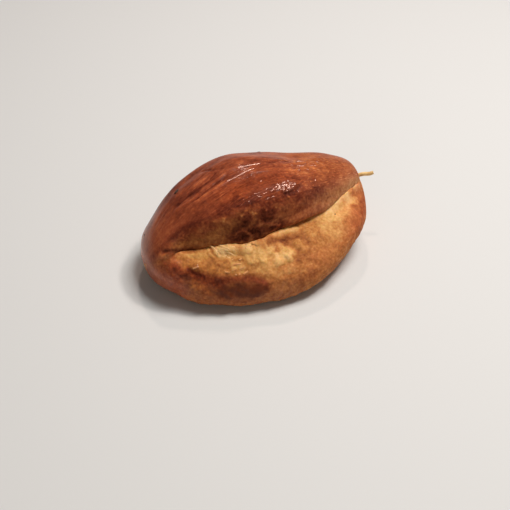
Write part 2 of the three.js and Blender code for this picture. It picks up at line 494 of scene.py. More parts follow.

# %% [markdown]
# Single marks come next, each a stroke or a dab. The left end of the crease runs out in a fine slit
# under a pale rim, and the slit is painted darker as shade. The torn place has short fibres, and
# below it lie curled shreds of skin and a blister with a fold under it, painted dark red as its shadow.

# %% Slit, fibres, curls and the blister
SLIT = [(-49.5, 36), (-46, 40), (-42.5, 44.5), (-36, 53)]
SLIT_FILLING = [(-47, 40), (-43, 46), (-38, 51), (-33, 54)]
LEFT_RIM = [(-50.5, 42), (-48.6, 43.5), (-45.5, 47), (-41, 56), (-37, 61), (-33, 64)]
FIBRES = [
    [(-29.8, 55), (-28.6, 61), (-28.8, 66), (-27.6, 71)],
    [(-28.2, 58), (-27.2, 64), (-25.4, 70)],
    [(-26.6, 58), (-25.4, 64), (-23.4, 71)],
    [(-25, 60), (-23.4, 66), (-21.4, 70)],
    [(-23.4, 61), (-21.6, 65), (-19.6, 68)],
    [(-30.8, 60), (-31, 66), (-30, 70)],
    [(-28.8, 68), (-26, 67), (-23.4, 68.5)],
]
CURLS = [
    [(-20.6, 77.6), (-19.2, 77)],
    [(-25, 80.6), (-22.8, 80), (-20.6, 80.6)],
    [(-25.4, 83.2), (-23.4, 82.8)],
    [(-21.8, 83.4), (-20, 83)],
    [(-24.4, 86.4), (-22.2, 87)],
    [(-21, 87.4), (-18.6, 86.4)],
    [(-28, 83.4), (-26.4, 84)],
]
BLISTER = (-38.2, 73, 2.0, 1.7)
BLISTER_FOLD = [(-42.2, 71.5), (-41, 76.5), (-39.4, 80.8), (-36.8, 84)]
BLISTER_RIM = [(-40.4, 71.8), (-39, 71.8), (-37.8, 72.2)]

slit = stroke(SLIT, width=0.8)
slit_filling = stroke(SLIT_FILLING, width=1.6)
left_rim = stroke(LEFT_RIM, width=1.1)
fibres = strokes(FIBRES, width=0.5)
curls = strokes(CURLS, width=0.5)
blister = dab(*BLISTER, raggedness=0.3)
blister_fold = stroke(BLISTER_FOLD, width=0.75)
blister_rim = stroke(BLISTER_RIM, width=0.6)
print("fibres", len(FIBRES), "curls", len(CURLS))

# %% [markdown]
# Right of the torn place the crease is notched. A folded ridge runs along the notch, with a hollow
# under it that is painted darker as shade, and the lip below has swollen in small pillows. Their
# tops are painted lighter as painted light, and the gaps between them browner as painted shade.

# %% Notch and pillows
NOTCH_RIDGE = [(-17, 75.5), (-14, 74.8), (-12, 74), (-7.4, 71), (-1, 69.6), (6.4, 70.4), (10, 71.5)]
HOLLOW = [(-8.6, 75.6), (-5, 73.6), (-1.4, 73), (2.8, 74), (8, 75)]
PILLOWS = [
    (-6.4, 77.5, 2.6, 1.5, 0.8),
    (-10.2, 80, 2.8, 1.9, 0.7),
    (0.6, 82.5, 3.2, 2, 1.0),
    (7.4, 79, 2.6, 1.5, 0.8),
    (-4.6, 85, 2.6, 1.6, 0.6),
    (8.3, 84, 2, 1.5, 0.5),
    (-15, 80, 2.4, 2, 0.5),
    (15, 76, 3, 2, 0.5),
]
GAP_SPREAD = 1.6

notch_ridge = stroke(NOTCH_RIDGE, width=0.95)
hollow = stroke(HOLLOW, width=0.9)
bulges = 0
round_pillows = 0
for place, turn, long, wide, rise in PILLOWS:
    bulges = bulges + rise * soft_step(dab(place, turn, long, wide, 1.0), 0.1, 0.85)
    wider = dab(place, turn, GAP_SPREAD * long, GAP_SPREAD * wide, 1.0)
    round_pillows = round_pillows + soft_step(wider, 0.1, 0.6)
pillows = np.clip(bulges, 0, 1)
# the gaps between the pillows, where shade is painted
pillow_gap_shade = np.clip(round_pillows, 0, 1) * (1 - pillows)
print("pillows", len(PILLOWS))

# %% [markdown]
# On the flap single folds stand out from the wrinkles, some raised and some sunk. The raised ones
# are painted lighter as highlight and the sunk ones darker as shade. Pale dots of dried egg are
# strewn along the shoulder. A fold is given as its path, its width and its height in millimetres.
# The dots lie at random, with a set seed.

# %% Folds and dots of the glaze
FOLDS = [
    ([(-38.4, -7.9), (-35, -6.1), (-31.2, -6.1), (-27.3, -9.6), (-23.6, -13.8), (-14, -17)], 0.8, 0.3),
    ([(-35, 1.5), (-29.8, 0.4), (-23.4, -3.2), (-17.6, -7.8), (-14, -9.1)], 0.8, 0.3),
    ([(-26.7, -22.6), (-22, -23.8)], 0.8, 0.25),
    ([(-14, -20.8), (-7, -19)], 0.7, 0.2),
    ([(-19.3, -38), (-16.2, -29.3), (-12.3, -24.5)], 0.9, -0.25),
    ([(-29, -3), (-24, -8), (-19, -11.5), (-14, -13)], 0.9, -0.25),
    ([(-37, -13.4), (-30.7, -14.4), (-26, -17.6)], 0.9, -0.25),
    ([(-30, 7), (-24.5, 3.6), (-18.4, -1.7)], 0.9, -0.2),
    ([(-2.8, -8.6), (0.9, -7.7), (5.5, -6.7), (11, -5.6), (17.9, -1.6), (22.5, 9.9)], 1.3, 0.3),
    ([(14.3, -11.6), (22.5, -18.4), (28.5, -14.1), (32.7, -2.5)], 0.9, 0.25),
    ([(19.3, -5.9), (24.8, -7.3), (28.4, 2.6), (29, 12)], 1.0, 0.25),
    ([(-2.3, 3), (1.8, 3), (7.8, 4.4), (13.3, 8.4), (17.7, 17.9)], 1.2, -0.25),
    ([(-1.4, -24.9), (4.1, -21.1), (9, -17), (17.1, -21.1)], 1.1, -0.3),
    ([(15, 22), (12.6, 25.5), (7, 25.6)], 1.1, -0.3),
    ([(-18.9, 49.3), (-17.5, 48.3), (-15.2, 49.4), (-13.3, 54.1), (-12.5, 57.7)], 0.6, 0.4),
    ([(-10.1, 49.6), (-8.7, 48.8), (-6, 48), (-2.8, 51.6), (1.4, 55.6)], 0.6, 0.35),
]
DOT_SEED = 4
DOT_COUNT = 26
DOTS_ALONG = (-30, 9)
DOTS_ROUND = (26, 36)

folds = sum(rise * stroke(path, width) for path, width, rise in FOLDS)
dot_chance = np.random.default_rng(DOT_SEED)
dots = zip(dot_chance.uniform(*DOTS_ALONG, DOT_COUNT), dot_chance.uniform(*DOTS_ROUND, DOT_COUNT))
pale_dots = strokes([[(place, turn), (place + 0.4, turn + 0.5)] for place, turn in dots], width=0.5)
pale_dots *= soft_step(rough(1.5, 31.1, 1), -0.35, 0.3)
print("folds", len(FOLDS), "dots", DOT_COUNT)

# %% [markdown]
# The crease in the solid is an open groove, but on the real pastry flap and lip almost touch. So
# both of its edges are swollen until only a thin line is left. A few broad, low dabs at the back, the
# foot and the right tip trim the outline to the photograph.

# %% Close the crease and trim the outline
LIP_CLOSING = {
    -34: 0, -29: 1.1, -24: 2.0, -19: 2.3, -12: 2.3, -6: 1.5, 2: 1.2, 8: 0.9, 14: 0.7, 26: 0.8, 33: 1.7,
    40: 2.7, 46: 3.1, 50: 1.9, 53: 0,
}
LIP_EDGE = 1.3
FLAP_CLOSING = {2: 0, 9: 1.7, 25: 2.1, 31: 1.1, 37: 0.1, 45: 0}
FLAP_EDGE = 1.2
EDGE_REACH = 1.7
TRIMS = {
    "back in the middle": (-8, -54, 13, 11, 0.8),
    "back at the left end": (-48, -64, 8, 11, -1.0),
    "back on the left": (-19, -53, 7, 10, 0.4),
    "right tip": (53, 84, 5, 8, -0.6),
    "foot on the left": (-34, 118, 9, 6, -0.6),
    "foot on the right": (21, 113, 9, 6, -0.5),
    "back on the right": (37, -54, 8, 9, -0.9),
    "above the right tip": (55, 45, 4, 12, -0.7),
    "foot at the left end": (-50, 132, 9, 8, -1.3),
    "foot in the middle": (-3, 114, 9, 8, 1.4),
}

lip_closing = run(LIP_CLOSING) * hump(seam_gap + LIP_EDGE, EDGE_REACH)
flap_closing = run(FLAP_CLOSING) * hump(seam_gap - FLAP_EDGE, EDGE_REACH)
trims = dabs(TRIMS, 0)
print("crease closed by up to", round(lip_closing.max(), 1), "and", round(flap_closing.max(), 1), "mm")

# %% Raise and sink all the marks
def add_up(rows):
    return sum(amount * mask for mask, amount in rows)


marks = add_up([
    (left_rim, 0.55),
    (notch_ridge, 0.9),
    (fibres, 0.28),
    (curls, 0.3),
    (blister, 0.9),
    (blister_rim, 0.4),
    (bulges, 0.95),
    (pale_dots, 0.3),
    (folds, 1),
    (lip_closing, 1),
    (flap_closing, 1),
    (slit_filling, 1.1),
    (trims, 1),
    (slit, -0.5),
    (blister_fold, -0.25),
    (hollow, -0.45),
])
raise_skin(crust, marks)
print("marks from", round(marks.min(), 2), "to", round(marks.max(), 2), "mm")

# %% [markdown]
# How far each place is baked runs from 0, pale crumb, to 1, almost burnt. It starts as a gentle
# run along the pastry, separate for the top, the front, the lip and the low part of the lip. Along
# the crease it is painted darker as shade on the left and in the middle, and paler as painted light
# on the right. Single dabs then brown it or leave it pale, each with a ragged edge.

# %% Bake along the top, the front and the lip
# the top is painted paler towards its left end, as light that bounces onto that end
TOP_BAKE = {-56: 0.54, -46: 0.6, -38: 0.71, -20: 0.705, -5: 0.705, 15: 0.665, 35: 0.65, 56: 0.57}
FRONT_BAKE = {-50: 0.65, -40: 0.68, -30: 0.63, -20: 0.65, 0: 0.64, 20: 0.65, 35: 0.57, 50: 0.45}
LIP_BAKE = {
    -56: 0.54, -50: 0.56, -46: 0.49, -42: 0.48, -36: 0.48, -30: 0.46, -20: 0.4, -10: 0.31,
    0: 0.3, 10: 0.365, 20: 0.34, 32: 0.2, 40: 0.24, 46: 0.36, 52: 0.4,
}
LOW_BAKE = {
    -56: 0.56, -46: 0.55, -36: 0.57, -30: 0.58, -10: 0.54,
    0: 0.48, 10: 0.47, 25: 0.44, 40: 0.46, 50: 0.46,
}
# painted shade in the crease where positive, painted light in it where negative
SEAM_SHADE_AND_LIGHT = {-48: 0.2, -34: 0.2, -26: 0.6, -16: 1, -4: 0.8, 6: -0.2, 12: -0.6, 30: -0.4, 42: 0}
TORN_MIDDLE = -24

low = soft_step(-z + 3.5 * right_of(0, 15), -21, -12)
top_bake = run(TOP_BAKE) - wrinkled * (0.06 * broad_wrinkles + 0.04 * fine_wrinkles)
front_bake = run(FRONT_BAKE) + 0.1 * rough(2.6, 61.7)
lip_bake = run(LIP_BAKE) + (run(LOW_BAKE) - run(LIP_BAKE)) * low
lip_bake += 0.12 * (1 - 0.6 * low) * rough(4.2, 41.3) + 0.05 * rough(1.8, 53.9)
seam_shade_and_light = run(SEAM_SHADE_AND_LIGHT) * open_seam
off_torn_place = soft_step(abs(along - TORN_MIDDLE), 6, 12)
# painted shade and light along the crease, on the lip side
lip_bake += 0.4 * seam_shade_and_light * hump(seam_gap, 1.5) * off_torn_place
flap_bake = top_bake + (front_bake - top_bake) * front
flap_bake += 0.12 * hump(angle - glaze_edge + 1, 3.5) * left_of(20, 40)
# painted shade and light along the crease, on the flap side
flap_bake += 0.25 * seam_shade_and_light * hump(seam_gap, 1.3)
bake = lip_bake + (flap_bake - lip_bake) * flap
print("first bake from", round(bake.min(), 2), "to", round(bake.max(), 2))

# %% Browned and pale places
BROWNED = {
    "round the dark lobes": (-11, 46, 9, 6, 0.06),
    "right edge": (48, 82, 5.5, 3.6, 0.18),
    "right edge high": (41.5, 77, 2.2, 1.6, 0.1),
    "right corner": (40, 85, 7, 4, 0.14),
    "right middle": (32, 81, 5, 3, 0.14),
    "mottle left": (-3, 79, 1.3, 1.3, 0.12),
    "mottle middle": (2.8, 77.5, 2.4, 1.2, 0.16),
    "mottle right": (12, 79, 3.5, 2, 0.12),
    "mottle low": (5, 87, 4, 1.6, 0.14),
    "mottle between": (6, 81, 5, 3, 0.06),
    # painted shadow beside the torn place
    "shadow left of the torn place": (-29.6, 63, 1.5, 3, 0.16),
    "below the curls": (-27, 86, 5, 3, 0.12),
    "under the foam": (8.6, 20, 6, 3, 0.08),
    "right shoulder": (35, 33, 6, 4, 0.04),
    "dark glaze over the lobes": (-10, 22, 6, 3, 0.1),
    "dark line of the glaze": (-29, -15, 8, 2.5, 0.08),
}
PALE = {
    "lip above the bottom patch": (-23, 83, 9, 2.6, 0.12),
    "under the notch": (-11, 77, 5, 3, 0.1),
    "middle of the lip": (-4, 84, 6, 3, 0.1),
    "right stripe": (33, 66, 12, 3, 0.17),
    "torn place": (-25.8, 67, 3.6, 2.8, 0.24),
    "beside the torn place": (-19, 66, 4, 2.6, 0.12),
    "golden glaze left": (-18, 1, 9, 4, 0.04),
    "golden glaze right": (26, -8, 9, 8, 0.05),
    # painted sheen along the far edge of the glaze on the right
    "sheen on the far edge right": (24, -38, 12, 6, 0.12),
    "front by the crease left": (-30, 52, 10, 4, 0.08),
    "front by the crease right": (37, 46, 12, 5, 0.18),
    "right tip of the flap": (50, 28, 8, 8, 0.05),
    "right tip of the lip": (45.5, 65, 5, 2.6, 0.17),
    # painted light on the front by the crease, where shade falls
    "light painted by the crease middle": (20, 52.5, 9, 2.6, 0.13),
}

bake += dabs(BROWNED, 1.2)
bake -= dabs(PALE)
print("browned places", len(BROWNED), "pale places", len(PALE))

# %% [markdown]
# Where the flap hangs over the crease it baked darkest, in crackled lobes. Low on the lip there is
# an almost burnt patch with a red rim, and a brown band leads down to it from the left end.

# %% Dark lobes and the burnt patch
LOBES = [
    (-14.2, 40, 3.2, 2.4),
    (-4, 42, 4.4, 3),
    (-17.5, 50, 4.5, 2.6),
    (-10, 53, 6, 2.6),
    (-1, 55.5, 5.5, 2.2),
    (-16.5, 57, 5, 2),
]
LOBE_BAKE = 0.33
PATCH = [(-29.5, 97.6, 5, 3.2), (-24, 98.2, 6, 3.4), (-18, 99.3, 5, 3.2), (-13.4, 98.4, 2.2, 1.6)]
PATCH_BAKE = 0.8
BROWN_BAND = [(-46.6, 69), (-45.5, 73), (-42.2, 79.5), (-39.5, 83), (-36.5, 87), (-31, 90)]
RED_RIM = [(-36, 85), (-34, 87), (-28.5, 89.2), (-23, 90), (-16.6, 92.6), (-13, 95)]
BAND_BAKE = 0.24

lobes = np.max([dab(*lobe, 1.2) for lobe in LOBES], axis=0) * flap
crackle = soft_step(abs(rough(2.2, 77.1, 1)), 0.0, 0.12)
patch = soft_step(np.max([dab(*spot, 1.0) for spot in PATCH], axis=0), 0.1, 0.8) * lip
brown_band = stroke(BROWN_BAND, width=2.2) * lip
red_rim = stroke(RED_RIM, width=1.3) * lip
bake += LOBE_BAKE * lobes * (0.7 + 0.3 * crackle)
bake += (PATCH_BAKE - bake) * patch
bake += BAND_BAKE * np.maximum(brown_band, 0.7 * red_rim) * (1 - patch)
print("burnt patch on", int((patch > 0.5).sum()), "points")

# %% Bake of the single marks, the back and the underside
UNDERSIDE_BAKE = 0.55

bake += add_up([
    # painted shade in the slit
    (slit, 0.2),
    # painted shadow in the fold under the blister
    (blister_fold, 0.24),
    # painted shade in the hollow under the notch ridge
    (hollow, 0.2),
    # painted shade in the gaps between the pillows
    (pillow_gap_shade, 0.07),
    (left_rim, -0.2),
    (fibres, -0.26),
    (curls, -0.06),
    (notch_ridge * (1 - flap), -0.22),
    # painted highlight on the raised folds and painted shade in the sunk ones
    (folds, -0.4),
    (pale_dots, -0.26),
    # painted light on the tops of the pillows
    (pillows, -0.12),
    (bare_back, -0.16),
    (far_side * rough(11, 17.3), 0.1),
])
bake = np.clip(bake + (UNDERSIDE_BAKE - bake) * underside, 0, 1)
print("bake from", round(bake.min(), 2), "to", round(bake.max(), 2))

# %% [markdown]
# Two places that are baked alike can still look different. Egg makes dough redder and shiny, yolk
# that gathered makes it yellow, and bare dough shows fine streaks where it was stretched. A painter
# would paint a mask for each by hand. Here each one is added up from the masks above, so that it
# keeps to the same edges.

# %% Where the crust is red
by_the_glaze = 1 - soft_step(angle - glaze_edge, 0, 18)
warm_front = front * np.maximum(by_the_glaze, 0.75 * right_of(-8, 14))
warm_front *= 1 - 0.4 * right_of(16, 34)
# painted shade on the lip next to the crease
shade_by_the_crease = hump(seam_gap, 2) * (1 - 0.6 * right_of(6, 18))
warm_lip = lip * add_up([
    (dab(49, 84, 6.5, 4.6), 0.8),
    (dab(38, 87, 9, 5), 0.8),
    (low, 0.5),
    (np.maximum(brown_band, red_rim), 0.8),
    (patch, -0.1),
    # the fold under the blister is painted redder as its shadow
    (blister_fold, 1),
    (left_of(-48, -42), 1),
    # painted shade: the gaps between the pillows are made redder
    (dab(4, 82, 14, 6) * (1 - pillows), 0.4),
    (shade_by_the_crease, 0.5),
    # painted shade between the fibres of the torn place
    (dab(-25, 67, 5, 3) * (1 - fibres), 0.2),
])
warmth = np.clip(add_up([
    (glaze * (1 - 0.25 * right_of(10, 36)), 1),
    (warm_front, 0.9),
    (warm_lip, 0.8),
    (bare_back, 0.35),
    (lobes, 0.5),
    (pale_dots, -0.2),
]), 0, 1)
print("warm on", round(warmth.mean(), 2), "of the skin")

# %% Where the crust is glossy
near_crest = front_of(-15, 1)
gloss = np.clip(add_up([
    (glaze * (1 - 0.95 * near_crest), 0.23),
    (pebbled, 0.12),
    (blister_rim, 0.5),
    (left_of(-50, -38) * (1 - 0.8 * lip * (1 - low)), 0.4),
    (lip * low * left_of(-6, 10), 0.2),
]), 0, 1)
print("gloss up to", round(gloss.max(), 2))

# %% Where the crust is streaked, specked and yellow, and where a mauve sheen is painted
YOLK_AND_SHEEN = {
    "left of the crest": (-13, 8, 12, 8, 0.5),
    "crest": (4, 4, 9, 6, 0.25),
    "right of the crest": (28, -4, 10, 9, 0.1),
    "left end of the lip": (-40, 86, 12, 14, 0.3),
    "right tip of the flap": (50, 26, 9, 9, -0.4),
}

streaked_front = front * right_of(6, 20) * (1 - 0.5 * right_of(24, 38))
streaked_lip = lip * left_of(-38, -28) * (1 - low)
upright = np.clip(streaked_front + 0.6 * streaked_lip, 0, 1)
left_top = glaze * (1 - 0.6 * far_side) * (1 - 0.6 * right_of(-6, 12)) * right_of(-38, -18)
low_right = lip * low * right_of(0, 12) * left_of(34, 46)
banded = np.clip(left_top + 0.5 * low_right, 0, 1)
specked = glaze * (0.4 + 0.6 * right_of(0, 16)) * (1 - 0.6 * far_side)
even = 1 - 0.75 * patch
grainy = even - 0.45 * glaze
clouded = warmth * (1 - soft_step(abs(angle), 110, 150)) * right_of(-54, -44)
# below 0.5 this mask paints a mauve sheen on the right front and the right tip of the flap
yolk_and_sheen = dabs(YOLK_AND_SHEEN) - 0.5 * flap * right_of(8, 24) * front_of(18, 36)
print("yolk from", round(yolk_and_sheen.min(), 2), "to", round(yolk_and_sheen.max(), 2))

# %% Keep the masks on the skin
SKIN_MASKS = {
    "clouded": clouded,
    "yolk_and_sheen": np.clip(0.5 + yolk_and_sheen, 0, 1),
    "bake": bake,
    "warmth": warmth,
    "gloss": gloss,
    "pebbled": pebbled,
    "upright": upright,
    "banded": banded,
    "even": even,
    "grainy": grainy,
    "specked": specked,
    "fold_along": along,
    "fold_round": fold_round,
}

for name, values in SKIN_MASKS.items():
    layer = crust.data.attributes.new(name, "FLOAT", "POINT")
    layer.data.foreach_set("value", values.astype(np.float32))
print("masks kept", len(SKIN_MASKS))

# %% [markdown]
# The back and the underside need fewer points than the open side, so the skin is thinned there by
# a Decimate modifier, with a vertex group that says where.

# %% Thin the skin out of sight
KEPT_SHARE = 0.72
SPARE_PULL = 10
SPARE_BACK = 0.35

spare = np.maximum(underside, SPARE_BACK * back_of(30, 70))
pick(crust)
paint_group(crust, "spare", spare)
thinning = crust.modifiers.new("thinning", "DECIMATE")
thinning.ratio = KEPT_SHARE
thinning.vertex_group = "spare"
thinning.vertex_group_factor = SPARE_PULL
bpy.ops.object.modifier_apply(modifier=thinning.name)
bpy.ops.object.vertex_group_remove(all=True)
crust_triangles = sum(len(face.vertices) - 2 for face in crust.data.polygons)
print("crust", crust_triangles, "triangles")

# %% [markdown]
# One finish covers the whole crust. Short helpers add its nodes, so that each pattern is one line. A
# tone is written as on a screen, from 0 to 255, and turned into the linear values that Blender
# counts in.

# %% Node helpers
crust_finish = bpy.data.materials.new("baked crust")
crust_finish.use_nodes = True
tree = crust_finish.node_tree
crust_shader = tree.nodes["Principled BSDF"]


def tone(red, green, blue):
    return (*(((v / 255 + 0.055) / 1.055) ** 2.4 for v in (red, green, blue)), 1.0)


def add_node(kind, inputs=(), **settings):
    node = tree.nodes.new(kind)
    for name, value in settings.items():
        setattr(node, name, value)
    for socket, value in dict(inputs).items():
        if isinstance(value, bpy.types.NodeSocket):
            tree.links.new(value, node.inputs[socket])
        else:
            node.inputs[socket].default_value = value
    return node


def noise_value(scale, detail, vector):
    inputs = {"Scale": scale, "Detail": detail, "Vector": vector}
    return add_node("ShaderNodeTexNoise", inputs).outputs["Fac"]


def math_value(operation, *values):
    return add_node("ShaderNodeMath", dict(enumerate(values)), operation=operation).outputs[0]


def mask_value(name):
    return add_node("ShaderNodeAttribute", attribute_name=name).outputs["Fac"]


def ramp_colour(factor, tones):
    node = add_node("ShaderNodeValToRGB", {"Fac": factor})
    ramp = node.color_ramp
    while len(ramp.elements) < len(tones):
        ramp.elements.new(0.5)
    for element, (position, colour) in zip(ramp.elements, tones.items()):
        element.position = position
        element.color = colour
    return node.outputs["Color"]


print("new finish", crust_finish.name)

# %% [markdown]
# No crust is baked evenly, so noise is added to the bake mask before it is turned into colour. Fine
# noise in all directions gives blotches and freckles. The rest is stretched along the fold or across
# it: specks, clouds and streaks of egg, thin light and dark lines, golden specks on the right, and
# upright streaks where the bare dough was pulled. A mask holds each pattern to its place.

# %% Patterns in the bake
BLOTCHES = 0.26
FRECKLES = 0.42
SPECKS_OF_EGG = 0.14
CLOUDS_OF_EGG = 0.34
STREAKS = 0.16
LIGHT_LINES = 0.15
DARK_LINES = 0.11
LINE_LIMITS = (0.54, 0.7)
GOLDEN_SPECKS = 0.2
SPECK_LIMITS = (0.52, 0.68)
UPRIGHT_STREAKS = 0.24


def fold_noise(length, width):
    grid = add_node("ShaderNodeCombineXYZ", {0: mask_value("fold_along"), 1: mask_value("fold_round")})
    stretch = {0: grid.outputs[0], 1: (1 / length, 1 / width, 1)}
    scaled = add_node("ShaderNodeVectorMath", stretch, operation="MULTIPLY")
    return noise_value(1, 2, scaled.outputs[0])


def vary(base, pattern, mask, amount):
    strength = math_value("MULTIPLY", mask_value(mask), amount)
    return math_value("MULTIPLY_ADD", math_value("SUBTRACT", pattern, 0.5), strength, base)


def add_peaks(base, pattern, limits, mask, amount):
    peaks = {0: pattern, 1: limits[0], 2: limits[1]}
    sparse = add_node("ShaderNodeMapRange", peaks, interpolation_type="SMOOTHSTEP").outputs[0]
    return math_value("MULTIPLY_ADD", math_value("MULTIPLY", sparse, mask_value(mask)), amount, base)


on_object = add_node("ShaderNodeTexCoord").outputs["Object"]
streaks = fold_noise(6, 1.0)
uneven = mask_value("bake")
uneven = vary(uneven, noise_value(260, 3, on_object), "even", BLOTCHES)
uneven = vary(uneven, noise_value(900, 4, on_object), "grainy", FRECKLES)
uneven = vary(uneven, fold_noise(1.2, 0.9), "clouded", SPECKS_OF_EGG)
uneven = vary(uneven, fold_noise(7, 4.2), "clouded", CLOUDS_OF_EGG)
uneven = vary(uneven, streaks, "banded", STREAKS)
uneven = add_peaks(uneven, fold_noise(8, 0.8), LINE_LIMITS, "banded", -LIGHT_LINES)
uneven = add_peaks(uneven, fold_noise(9, 1.1), LINE_LIMITS, "banded", DARK_LINES)
uneven = add_peaks(uneven, fold_noise(1.9, 0.9), SPECK_LIMITS, "specked", -GOLDEN_SPECKS)
uneven = vary(uneven, fold_noise(0.7, 6), "upright", UPRIGHT_STREAKS)
print("patterns from", len(tree.nodes), "nodes")

# %% [markdown]
# The uneven bake is looked up in two ramps, a golden one for bare dough and a redder one for dough
# with egg, and the warmth mask mixes them. A last mask then tints the result, yellow where yolk
# gathered, and a little mauve on the right of the flap as a painted sheen.

# %% Colour of the crust
BARE_TONES = {
    0.0: tone(243, 202, 142),
    0.2: tone(218, 170, 105),
    0.4: tone(190, 130, 73),
    0.6: tone(145, 89, 50),
    0.8: tone(99, 51, 29),
    1.0: tone(52, 20, 10),
}
WARM_TONES = {
    0.2: tone(218, 143, 92),
    0.4: tone(187, 105, 65),
    0.6: tone(150, 76, 48),
    0.8: tone(105, 47, 31),
    1.0: tone(56, 20, 12),
}
YOLK_AND_SHEEN_TINTS = {
    0.0: (0.86, 0.93, 1.18, 1.0),
    0.5: (1.0, 1.0, 1.0, 1.0),
    1.0: (1.0, 0.86, 0.66, 1.0),
}

crust_colour = add_node("ShaderNodeMix", {
    0: mask_value("warmth"),
    6: ramp_colour(uneven, BARE_TONES),
    7: ramp_colour(uneven, WARM_TONES),
}, data_type="RGBA")
tinted = add_node("ShaderNodeMix", {
    0: 1.0,
    6: crust_colour.outputs[2],
    7: ramp_colour(mask_value("yolk_and_sheen"), YOLK_AND_SHEEN_TINTS),
}, data_type="RGBA", blend_type="MULTIPLY")
tree.links.new(tinted.outputs[2], crust_shader.inputs["Base Color"])
print("tones", len(BARE_TONES), "bare and", len(WARM_TONES), "warm")

# %% [markdown]
# The dried egg is a thin clear coat, as strong as the gloss mask says. The dough under it is dull,
# and a little light goes into the crumb and comes out again warmer. A fine bump adds the grain that
# is smaller than the mesh: dull grain on bare dough, sparkle on the pebbles, lines on the streaks.

# %% Gloss and grain of the crust
CRUST_SURFACE = {
    "Roughness": 0.5,
    "Specular IOR Level": 0.02,
    "Coat Roughness": 0.14,
    "Subsurface Weight": 0.35,
    "Subsurface Radius": (1.0, 0.4, 0.15),
    "Subsurface Scale": 1.0 * MM,
}
GRAIN_SCALE = 1300
GRAIN_HEIGHT = 0.2 * MM
BARE_GRAIN = 0.4
SPARKLE = 2.0
STREAK_RELIEF = 0.6

set_inputs(crust_shader, CRUST_SURFACE)
tree.links.new(mask_value("gloss"), crust_shader.inputs["Coat Weight"])
bare = math_value("SUBTRACT", 1.0, mask_value("gloss"))
grain = math_value("MULTIPLY", noise_value(GRAIN_SCALE, 3, on_object), bare)
sparkle = math_value("MULTIPLY", noise_value(GRAIN_SCALE, 1, on_object), mask_value("pebbled"))
lines = math_value("MULTIPLY", streaks, mask_value("banded"))
relief = math_value("MULTIPLY", grain, BARE_GRAIN)
relief = math_value("MULTIPLY_ADD", sparkle, SPARKLE, relief)
relief = math_value("MULTIPLY_ADD", lines, STREAK_RELIEF, relief)
bump = add_node("ShaderNodeBump", {"Strength": 1.0, "Distance": GRAIN_HEIGHT, "Height": relief})
tree.links.new(bump.outputs["Normal"], crust_shader.inputs["Normal"])
tree.links.new(bump.outputs["Normal"], crust_shader.inputs["Coat Normal"])
crust.data.materials.append(crust_finish)
print("finish with", len(tree.nodes), "nodes")

# %% Hang the crust on the frame
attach(crust, "root")
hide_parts("dough")
print("crust takes the place of the solid")

# %% [markdown]
# At the torn place the crumb pulled out in pale shreds that cling to the skin. Each one is a
# curve drawn over the skin, round and a little thinner at both ends, turned to a mesh and half sunk.
# To lie on the skin, a point is found by a ray that is shot from outside at the line from tip to tip.

# %% Find a place on the skin
def on_skin(place, turn, lift):
    share = place / HALF_LENGTH
    tip_y, tip_z = LEFT_TIP if place < 0 else RIGHT_TIP
    axis = Vector((place, tip_y * share**2, AXIS_HEIGHT + (tip_z - AXIS_HEIGHT) * share**2))
    tilt = math.radians(turn)
    outward = Vector((0, -math.sin(tilt), math.cos(tilt)))
    spot, normal = crust.ray_cast((axis + 2 * HALF_LENGTH * outward) * MM, -outward)[1:3]
    return spot + normal * lift * MM


print("crest at", round(on_skin(0, 0, 0).z / MM, 1), "mm")

# %% Draw a strand and join pieces
CURVE_STEPS = 5
CURVE_ROUNDNESS = 1


def draw_strand(name, path, width, thickness, head, tail):
    bpy.ops.curve.primitive_bezier_curve_add()
    strand = bpy.context.object
    strand.name = name
    line = strand.data
    line.dimensions = "3D"
    line.twist_mode = "Z_UP"
    line.resolution_u = CURVE_STEPS
    line.extrude = width / 2 * MM
    line.bevel_depth = thickness / 2 * MM
    line.bevel_resolution = CURVE_ROUNDNESS
    line.use_fill_caps = True
    knots = line.splines[0].bezier_points
    knots.add(len(path) - len(knots))
    for knot, spot in zip(knots, path):
        knot.co = spot
        knot.handle_left_type = "AUTO"
        knot.handle_right_type = "AUTO"
        knot.radius = 1.0
    knots[0].radius = head
    knots[-1].radius = tail
    bpy.ops.object.convert(target="MESH")
    return bpy.context.object


def join_pieces(name, pieces):
    pick(pieces[0])
    for piece in pieces:
        piece.select_set(True)
    bpy.ops.object.join()
    joined = bpy.context.object
    joined.name = name
    bpy.ops.object.transform_apply(location=True, rotation=True, scale=True)
    bpy.ops.object.shade_smooth()
    print(name, len(joined.data.polygons), "faces")
    return joined


# %% Torn shreds at the crease
STRAND_END = 0.85
SHRED_THICKNESS = 1.1
SHRED_SINK = -0.43
SHREDS = [
    [(-29.6, 55), (-28.8, 60), (-28, 65), (-27.8, 69)],
    [(-26.4, 58), (-24.6, 61), (-23, 65), (-22.8, 69)],
    [(-27.2, 63), (-25.6, 62.6), (-23.8, 65)],
    [(-27, 66.8), (-25.2, 68), (-23.6, 69.5), (-21.6, 74)],
    [(-28.2, 71), (-26, 72), (-24.4, 71.5)],
    [(-28.2, 62), (-26.8, 66), (-26.4, 69.6)],
    [(-22.4, 62), (-20.6, 65), (-20, 69)],
    [(-24.6, 73.6), (-22.8, 77.4)],
]


def strand_on_skin(name, path, thickness, sink):
    spots = [on_skin(place, turn, sink) for place, turn in path]
    return draw_strand(name, spots, 0, thickness, STRAND_END, STRAND_END)


def strands_on_skin(name, paths, thickness, sink):
    return [strand_on_skin(f"{name}_{index}", path, thickness, sink) for index, path in enumerate(paths)]


torn_shreds = join_pieces("torn_shreds", strands_on_skin("shred", SHREDS, SHRED_THICKNESS, SHRED_SINK))

# %% [markdown]
# Below the torn place thin skin shrank and rolled up in short curls, and one more curl rims the
# blister. They are strands too, and lie higher than the shreds, on the raised marks made before.

